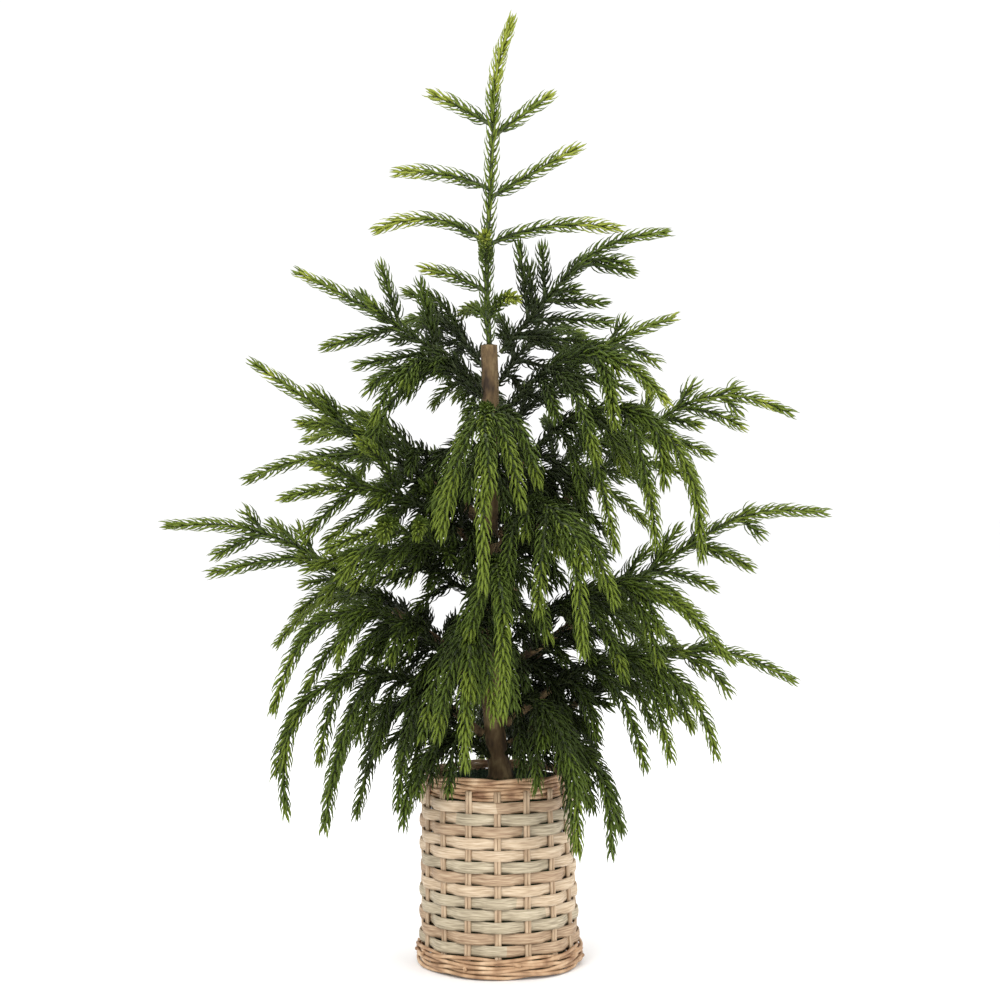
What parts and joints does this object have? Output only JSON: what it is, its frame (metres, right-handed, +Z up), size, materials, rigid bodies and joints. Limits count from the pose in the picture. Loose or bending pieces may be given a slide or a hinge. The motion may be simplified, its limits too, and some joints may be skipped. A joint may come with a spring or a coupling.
{
  "type": "artificial norfolk pine in a basket",
  "caption": "Table-top artificial Norfolk pine with drooping needled boughs round a slender brown trunk, set in a round woven willow basket topped with dark moss.",
  "frame": {"origin": "centre of the basket's flat underside, on the surface that it stands on", "axes": "+Z up the trunk, +X to the right and -Y to the front as the tree is seen from its front"},
  "size_m": [0.4601, 0.3658, 0.657],
  "materials": {
    "needles": "soft moulded needles, dark green with yellow-green tips",
    "bark": "rough brown bark",
    "willow_splint": "pale flat willow splints, woven",
    "willow_rod": "thin reddish willow rods, plaited",
    "moss": "dark green mossy fill"
  },
  "bodies": {
    "root": {"basket_base": "willow_splint", "basket_foot_border": "willow_rod", "basket_rim_border": "willow_rod", "basket_wall": "willow_splint", "bough_bottom_left": "bark", "bough_bottom_right": "bark", "bough_lower_back_left": "bark", "bough_lower_back_right": "bark", "bough_lower_front": "bark", "bough_lower_front_left": "bark", "bough_lower_front_right": "bark", "bough_lower_left": "bark", "bough_lower_right": "bark", "bough_middle_back_left": "bark", "bough_middle_back_right": "bark", "bough_middle_front": "bark", "bough_middle_front_left": "bark", "bough_middle_front_right": "bark", "bough_middle_left": "bark", "bough_middle_right": "bark", "bough_upper_front": "bark", "foliage_bottom_back": "needles", "foliage_bottom_back_left": "needles", "foliage_bottom_back_right": "needles", "foliage_bottom_front": "needles", "foliage_bottom_front_left": "needles", "foliage_bottom_front_right": "needles", "foliage_bottom_left": "needles", "foliage_bottom_right": "needles", "foliage_crown_back_left": "needles", "foliage_crown_back_right": "needles", "foliage_crown_front_left": "needles", "foliage_crown_left": "needles", "foliage_crown_right": "needles", "foliage_leader": "needles", "foliage_lower_back": "needles", "foliage_lower_back_left": "needles", "foliage_lower_back_right": "needles", "foliage_lower_front": "needles", "foliage_lower_front_left": "needles", "foliage_lower_front_right": "needles", "foliage_lower_left": "needles", "foliage_lower_right": "needles", "foliage_middle_back_left": "needles", "foliage_middle_back_right": "needles", "foliage_middle_front": "needles", "foliage_middle_front_left": "needles", "foliage_middle_front_right": "needles", "foliage_middle_left": "needles", "foliage_middle_right": "needles", "foliage_upper_back": "needles", "foliage_upper_front": "needles", "foliage_upper_front_right": "needles", "foliage_upper_right": "needles", "foliage_waist_front": "needles", "foliage_waist_front_left": "needles", "foliage_waist_front_right": "needles", "foliage_waist_left": "needles", "moss_fill": "moss", "trunk": "bark"}
  },
  "joints": []
}
